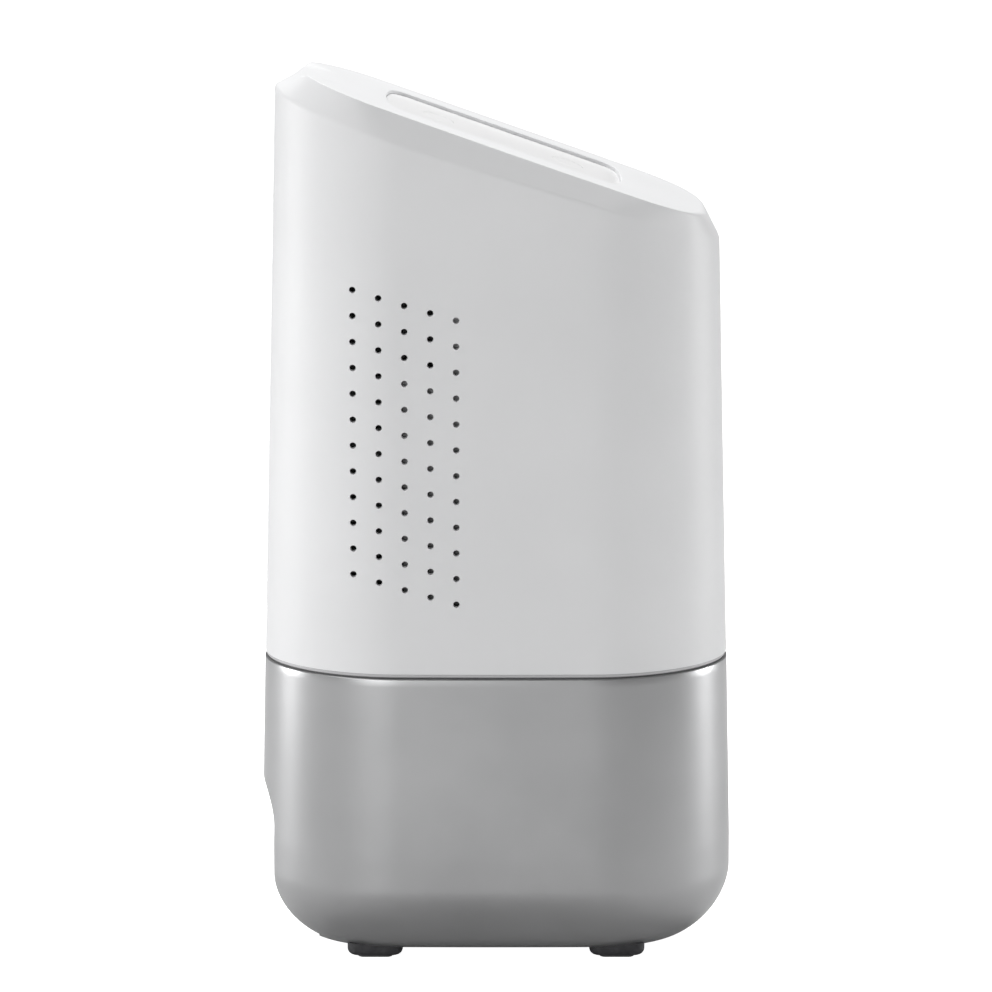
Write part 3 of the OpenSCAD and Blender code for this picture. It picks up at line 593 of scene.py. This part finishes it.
def chamfer_head(station, skin=0.0, depth=0.0):
    """Where the chamfer meets the top plane: squarer at the low end, straight across at the high end."""
    flat, cosine, sine = station
    if flat == 1:
        cosine = max(cosine, 0) ** LOW_END_POWER
        sine = math.copysign(abs(sine) ** LOW_END_POWER, sine)
    x, y = plan_point((flat, cosine, sine), TOP_FLAT, TOP_END - skin, TOP_SIDE - skin)
    x += TOP_SHIFT
    rolled = sag_share(y) if x < 0 else 0
    x = max(x, BLUNT + skin)
    return Vector((x, y, TOP - SLOPE * x - depth - SAG * rolled))


def curve(a, b, c, share):
    """A point on the arc that rounds the corner b between a and c."""
    return a * (1 - share) ** 2 + b * 2 * share * (1 - share) + c * share ** 2


def pill_outline(grow):
    """Closed outline of the sunk field in the top plane: straight sides, rounded corners, bowed ends."""
    half, corner, bow = PILL_WIDTH / 2 + grow, PILL_CORNER + grow, PILL_BOW + grow
    bow_x = PILL_LENGTH / 2 + grow - bow
    turn = math.asin((half - corner) / (bow - corner))
    corner_x = bow_x + math.sqrt((bow - corner) ** 2 - (half - corner) ** 2)
    quarter = [(bow_x + bow * math.cos(turn * i / 12), bow * math.sin(turn * i / 12)) for i in range(12)]
    for i in range(17):
        angle = turn + (math.pi / 2 - turn) * i / 16
        quarter.append((corner_x + corner * math.cos(angle), half - corner + corner * math.sin(angle)))
    left = [(-x, y) for x, y in quarter[::-1]]
    return quarter + left + [(-x, -y) for x, y in quarter[1:]] + [(-x, -y) for x, y in left[:-1]]


def pill_ring(grow, out, places):
    """The sunk field's outline as a ring whose points face those of the top plane's edge."""
    outline = pill_outline(grow)
    turns = [math.atan2(y / PILL_WIDTH, x / PILL_LENGTH) for x, y in outline]
    start = turns.index(min(turns))
    loop = outline[start:] + outline[:start + 1]
    angles = turns[start:] + turns[:start] + [turns[start] + 2 * math.pi]
    ring = []
    for place in places:
        turn = place if place >= angles[0] else place + 2 * math.pi
        k = next(i for i in range(len(angles) - 1) if angles[i + 1] >= turn)
        share = (turn - angles[k]) / max(angles[k + 1] - angles[k], 1e-9)
        x = loop[k][0] * (1 - share) + loop[k + 1][0] * share
        y = loop[k][1] * (1 - share) + loop[k + 1][1] * share
        ring.append(on_top(PILL_MIDDLE + x, y, out))
    return ring


def facing_places(ring):
    """The direction of each point of a top-plane ring, seen from the sunk field's centre."""
    reach = max(p.x for p in ring)
    half = max(p.y for p in ring)
    return [math.atan2(p.y / half, (p.x / math.cos(ALPHA) - PILL_MIDDLE) / reach) for p in ring]


def head_rings():
    """The housing's rings: inner ceiling, down the inside, round the lower edge and up the outside."""
    heads = [chamfer_head(s) for s in HEAD_STATIONS]
    places = facing_places(heads)
    depth = RECESS + PANEL + FLOOR
    skin = WALL * 0.75
    rings = [pill_ring(1.5 * MM, -depth, places), pill_ring(1.5 * MM, -WALL, places)]
    rings.append([chamfer_head(s, skin, WALL * 1.06) for s in HEAD_STATIONS])
    feet_inside = [chamfer_foot(s, WALL, 0.9 * MM) for s in HEAD_STATIONS]
    for i in range(13):
        rings.append([wall_point(s, SEAM + 0.3 * MM + (f.z - SEAM - 0.3 * MM) * (1 - i / 12), WALL)
                      for s, f in zip(HEAD_STATIONS, feet_inside)])
    edge = 0.35 * MM
    rings.append([wall_point(s, SEAM, WALL - 0.2 * MM) for s in HEAD_STATIONS])
    for i in range(4):
        turn = math.radians(90 * i / 3)
        rings.append([wall_point(s, SEAM + edge * (1 - math.cos(turn)), edge * (1 - math.sin(turn)))
                      for s in HEAD_STATIONS])
    foots = [chamfer_foot(s) for s in HEAD_STATIONS]
    # the corners are softer towards the low end
    soft = [max(0, (f.x - 40 * MM) / (36 * MM)) ** 2 for f in foots]
    below = [wall_point(s, f.z - 1.2 * MM) for s, f in zip(HEAD_STATIONS, foots)]
    up = [(h - f).normalized() for h, f in zip(heads, foots)]
    above = [f + u * (1.2 + 1.6 * k) * MM for f, u, k in zip(foots, up, soft)]
    for i in range(1, 41):
        rings.append([wall_point(s, SEAM + edge + (b.z - SEAM - edge) * i / 40)
                      for s, b in zip(HEAD_STATIONS, below)])
    rings += [[curve(a, b, c, i / 6) for a, b, c in zip(below, foots, above)] for i in range(1, 7)]
    before = [h - u * (0.5 + 0.8 * k) * MM for h, u, k in zip(heads, up, soft)]
    reach = [(2 + 9 * sag_share(h.y) * (h.x < 0)) * MM for h in heads]
    level = [h + (Vector((0, 0, h.z)) - h).normalized() * r for h, r in zip(heads, reach)]
    level = [Vector((p.x, p.y, TOP - SLOPE * p.x)) for p in level]
    after = [h + (p - h).normalized() * (0.5 + 0.8 * k) * MM for h, p, k in zip(heads, level, soft)]
    rings += [[a.lerp(b, i / 3) for a, b in zip(above, before)] for i in range(1, 4)]
    rings += [[curve(a, b, c, i / 6) for a, b, c in zip(before, heads, after)] for i in range(1, 7)]
    lip = 0.4 * MM
    outer = pill_ring(lip, 0, places)
    rings += [level]
    rings += [[a.lerp(b, i / 4) for a, b in zip(level, outer)] for i in range(1, 4)]
    rings.append(outer)
    for i in range(1, 5):
        turn = math.radians(90 * i / 4)
        rings.append(pill_ring(lip * (1 - math.sin(turn)), -lip * (1 - math.cos(turn)), places))
    rings += [pill_ring(0, -RECESS, places), pill_ring(0, -RECESS - PANEL, places)]
    return rings


housing = lofted("housing_shell", head_rings())


def tilted_cylinder(name, along, across, radius, low, high, sides=40):
    """A cylinder square to the top plane, used to drill with."""
    rings = [[on_top(along + radius * math.cos(2 * math.pi * i / sides),
                     across + radius * math.sin(2 * math.pi * i / sides), out) for i in range(sides)]
             for out in (low, high)]
    return lofted(name, rings)


KEY_DEPTH = RECESS + PANEL + FLOOR
for side in (-1, 1):
    carved(housing, tilted_cylinder("key_hole", PILL_MIDDLE + side * KEY_REACH, 0, KEY_RADIUS + 1.8 * MM,
                                    -KEY_DEPTH - 2 * MM, -RECESS - 0.5 * MM))
    carved(housing, tilted_cylinder("lamp_hole", PILL_MIDDLE + side * 4 * MM, 0, 1.6 * MM,
                                    -KEY_DEPTH - 2 * MM, -RECESS - 0.5 * MM, 24))
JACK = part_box("dc_jack")
jack_middle = (JACK[0][2] + JACK[1][2]) / 2
INLET_RADIUS = 4.1 * MM
inlet_turns = [2 * math.pi * i / 40 for i in range(40)]
inlet_rings = [[Vector((x, INLET_RADIUS * math.cos(turn), jack_middle + INLET_RADIUS * math.sin(turn)))
                for turn in inlet_turns] for x in (-HALF_LENGTH - 5 * MM, -HALF_LENGTH + 6 * MM)]
carved(housing, lofted("inlet_hole", inlet_rings))

paint_white = Finish("white_moulding", Specular_IOR_Level=0.4, Coat_Weight=0.12, Coat_Roughness=0.4)
haze = paint_white.noise(18, 2.0)
skin_grain = paint_white.noise(3400, 2.0)
paint_white.feed("Base Color", paint_white.blend(paint_white.spread(haze, 0.35, 0.65, 0, 1),
                                                 (0.775, 0.778, 0.785), (0.8, 0.803, 0.81)))
paint_white.feed("Roughness", paint_white.spread(skin_grain, 0.3, 0.7, 0.48, 0.56))
paint_white.bump(skin_grain, 0.06, 0.00005)


HOLE_COLUMNS = 5
HOLE_ROWS = 12
COLUMN_PITCH = 8.85 * MM
ROW_PITCH = 9 * MM
COLUMN_DROP = 2.52 * MM
HOLE_RADIUS = 1.125 * MM
WALL_REACH = 35 * MM


class HoleField:
    """The Geometry Nodes tree that drills a sheared grid of holes along Y."""

    def __init__(self):
        self.tree = bpy.data.node_groups.new("hole_field", "GeometryNodeTree")
        self.tree.is_modifier = True
        face = self.tree.interface
        face.new_socket("Geometry", in_out="INPUT", socket_type="NodeSocketGeometry")
        face.new_socket("Geometry", in_out="OUTPUT", socket_type="NodeSocketGeometry")
        for name, kind, value in (("Columns", "Int", HOLE_COLUMNS), ("Rows", "Int", HOLE_ROWS),
                                  ("Column Pitch", "Float", COLUMN_PITCH), ("Row Pitch", "Float", ROW_PITCH),
                                  ("Column Drop", "Float", COLUMN_DROP), ("Radius", "Float", HOLE_RADIUS),
                                  ("Middle", "Vector", (0, 0, 0)), ("Depth", "Float", 30 * MM)):
            face.new_socket(name, in_out="INPUT", socket_type="NodeSocket" + kind).default_value = value
        self.start = self.tree.nodes.new("NodeGroupInput")
        self.wire()

    def add(self, kind, settings=None, **links):
        node = self.tree.nodes.new(kind)
        for key, value in (settings or {}).items():
            setattr(node, key, value)
        for key, value in links.items():
            numbered = key[0] == "n" and key[1:].isdigit()
            socket = node.inputs[int(key[1:]) if numbered else key.replace("_", " ")]
            if isinstance(value, bpy.types.NodeSocket):
                self.tree.links.new(value, socket)
            else:
                socket.default_value = value
        return node

    def given(self, name):
        return self.start.outputs[name]

    def maths(self, operation, a, b):
        return self.add("ShaderNodeMath", {"operation": operation}, n0=a, n1=b).outputs[0]

    def span(self, pitch, count):
        return self.maths("MULTIPLY", self.given(pitch), self.maths("SUBTRACT", self.given(count), 1))

    def wire(self):
        grid = self.add("GeometryNodeMeshGrid", Size_X=self.span("Column Pitch", "Columns"),
                        Size_Y=self.span("Row Pitch", "Rows"), Vertices_X=self.given("Columns"),
                        Vertices_Y=self.given("Rows"))
        quarter = (math.pi / 2, 0, 0)
        upright = self.add("GeometryNodeTransform", Geometry=grid.outputs["Mesh"], Rotation=quarter)
        place = self.add("GeometryNodeInputPosition").outputs[0]
        sideways = self.add("ShaderNodeSeparateXYZ", n0=place).outputs[0]
        column = self.maths("DIVIDE", sideways, self.given("Column Pitch"))
        fall = self.maths("MULTIPLY", column, self.maths("MULTIPLY", self.given("Column Drop"), -1))
        shift = self.add("ShaderNodeCombineXYZ", Z=fall)
        sheared = self.add("GeometryNodeSetPosition", Geometry=upright.outputs[0], Offset=shift.outputs[0])
        moved = self.add("GeometryNodeTransform", Geometry=sheared.outputs[0],
                         Translation=self.given("Middle"))
        drill = self.add("GeometryNodeMeshCylinder", {"fill_type": "NGON"}, Vertices=28,
                         Radius=self.given("Radius"), Depth=self.given("Depth"))
        lying = self.add("GeometryNodeTransform", Geometry=drill.outputs["Mesh"], Rotation=quarter)
        drills = self.add("GeometryNodeInstanceOnPoints", Points=moved.outputs[0], Instance=lying.outputs[0])
        real = self.add("GeometryNodeRealizeInstances", Geometry=drills.outputs[0])
        cut = self.add("GeometryNodeMeshBoolean", {"operation": "DIFFERENCE", "solver": "EXACT"},
                       n0=self.given("Geometry"), n1=real.outputs[0])
        dressed = self.add("GeometryNodeSetMaterial", Geometry=cut.outputs[0], Material=paint_white.data)
        end = self.add("NodeGroupOutput")
        self.tree.links.new(dressed.outputs[0], end.inputs[0])


def drilled(obj, tree, middle):
    """Runs the hole field on obj around a middle point, and keeps the result as its mesh."""
    modifier = obj.modifiers.new("holes", "NODES")
    modifier.node_group = tree
    names = {item.name: item.identifier for item in tree.interface.items_tree if item.in_out == "INPUT"}
    modifier[names["Middle"]] = middle
    baked(obj)


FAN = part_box("fan_frame")
field_x = -49 * MM + COLUMN_PITCH * (HOLE_COLUMNS - 1) / 2
field_z = TOP - 48.5 * MM - (ROW_PITCH * (HOLE_ROWS - 1) + COLUMN_DROP * (HOLE_COLUMNS - 1)) / 2
fan_x = (FAN[0][0] + FAN[1][0]) / 2
fan_z = (FAN[0][2] + FAN[1][2]) / 2
holes = HoleField().tree
drilled(housing, holes, (field_x, -WALL_REACH, field_z))
drilled(housing, holes, (fan_x, WALL_REACH, fan_z))
smoothed(housing, 15)
paint_white.coat(housing)
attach(housing, "head")
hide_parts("housing")

# ---------------------------------------------------------------- control panel and keys
# A glossy white plate lies in the sunk field. Two round keys, each on its own stem, stand level with it.


def panel_rings():
    """Rings of the panel from its underside up, with a fine rounded upper edge."""
    places = facing_places([chamfer_head(s) for s in HEAD_STATIONS])
    gap = -0.12 * MM
    edge = 0.2 * MM
    rings = [pill_ring(gap, -RECESS - PANEL, places), pill_ring(gap, -RECESS - edge, places)]
    for i in range(1, 4):
        turn = math.radians(90 * i / 3)
        rings.append(pill_ring(gap - edge * (1 - math.cos(turn)), -RECESS - edge + edge * math.sin(turn),
                               places))
    rings.append(pill_ring(gap - 3 * edge, -RECESS, places))
    return rings


panel = lofted("panel_plate", panel_rings())
for side in (-1, 1):
    carved(panel, tilted_cylinder("key_hole", PILL_MIDDLE + side * KEY_REACH, 0, KEY_RADIUS + 0.24 * MM,
                                  -KEY_DEPTH, 2 * MM, 64))
smoothed(panel, 35)


def key_cap(name, side):
    """A round key: slightly dished cap with a rounded rim, flange and stem, as one turned shape."""
    profile = [(2, -5.5), (2, -3.9), (6.6, -3.9), (6.6, -2.8), (5.46, -2.8), (5.46, -1.4), (5.44, -1.28),
               (5.36, -1.22), (5.2, -1.2), (4.2, -1.2), (3, -1.22), (1.5, -1.24)]
    sides = 64
    rings = []
    turns = [2 * math.pi * i / sides for i in range(sides)]
    middle = PILL_MIDDLE + side * KEY_REACH
    for radius, out in profile:
        rings.append([on_top(middle + radius * MM * math.cos(turn), radius * MM * math.sin(turn), out * MM)
                      for turn in turns])
    return lofted(name, rings)


gloss = Finish("gloss_white", Specular_IOR_Level=0.5, Coat_Weight=0.15, Coat_Roughness=0.2)
veil = gloss.noise(24, 2.0)
gloss.feed("Base Color", gloss.blend(gloss.spread(veil, 0.35, 0.65, 0, 1),
                                     (0.88, 0.88, 0.883), (0.9, 0.9, 0.902)))
gloss.feed("Roughness", gloss.spread(gloss.noise(60, 1.0), 0.3, 0.7, 0.3, 0.34))
gloss.coat(panel)
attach(panel, "head")
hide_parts("control_panel")
for name, side in (("power_key", -1), ("light_key", 1)):
    key = key_cap(name + "_cap", side)
    smoothed(key, 35)
    gloss.coat(key)
    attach(key, name)
    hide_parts(name)

# ---------------------------------------------------------------- floor and light
# A plain pale floor that the camera alone sees as pure white. Small soft boxes light both ends, larger ones
# the intake side and the top, and an even room fills in.
floor_mesh = bmesh.new()
bmesh.ops.create_grid(floor_mesh, x_segments=1, y_segments=1, size=9)
floor = mesh_object("floor", floor_mesh)
floor_finish = Finish("pale_floor", Roughness=0.9, Specular_IOR_Level=0.1)
floor_finish.feed("Base Color", floor_finish.blend(floor_finish.noise(3), (0.78, 0.78, 0.78),
                                                   (0.82, 0.82, 0.82)))
seen = floor_finish.node("ShaderNodeLightPath", out="Is Camera Ray")
floor_finish.feed("Emission Color", floor_finish.blend(seen, (0, 0, 0), (1, 1, 1)))
floor_finish.shader.inputs["Emission Strength"].default_value = 1.0
floor_finish.coat(floor)


def soft_box(name, place, aim, size, power):
    """A rectangular area light that faces a point."""
    data = bpy.data.lights.new(name, "AREA")
    data.shape = "RECTANGLE"
    data.size, data.size_y = size
    data.energy = power
    light = bpy.data.objects.new(name, data)
    light.location = place
    light.rotation_euler = (Vector(aim) - Vector(place)).to_track_quat("-Z", "Y").to_euler()
    bpy.context.collection.objects.link(light)


soft_box("left_strip", (-1.3, 0.05, 0.11), (0, 0, 0.1), (0.3, 0.2), 5)
soft_box("right_strip", (1.3, 0.16, 0.11), (0, 0, 0.1), (0.3, 0.2), 5.6)
soft_box("front_box", (-1.1, -1.2, 1.1), (0, 0, 0.25), (1.2, 0.9), 7.5)
soft_box("low_box", (-0.62, -1.9, 0.3), (0, 0, 0.1), (0.95, 0.55), 7)
soft_box("top_box", (0, 0.5, 1.5), (0, 0, 0.3), (1.2, 0.9), 21)
world = bpy.data.worlds.new("room")
world.use_nodes = True
world.node_tree.nodes["Background"].inputs["Color"].default_value = (1, 1, 1, 1)
world.node_tree.nodes["Background"].inputs["Strength"].default_value = 0.22
bpy.context.scene.world = world
bpy.context.scene.view_settings.view_transform = "Standard"
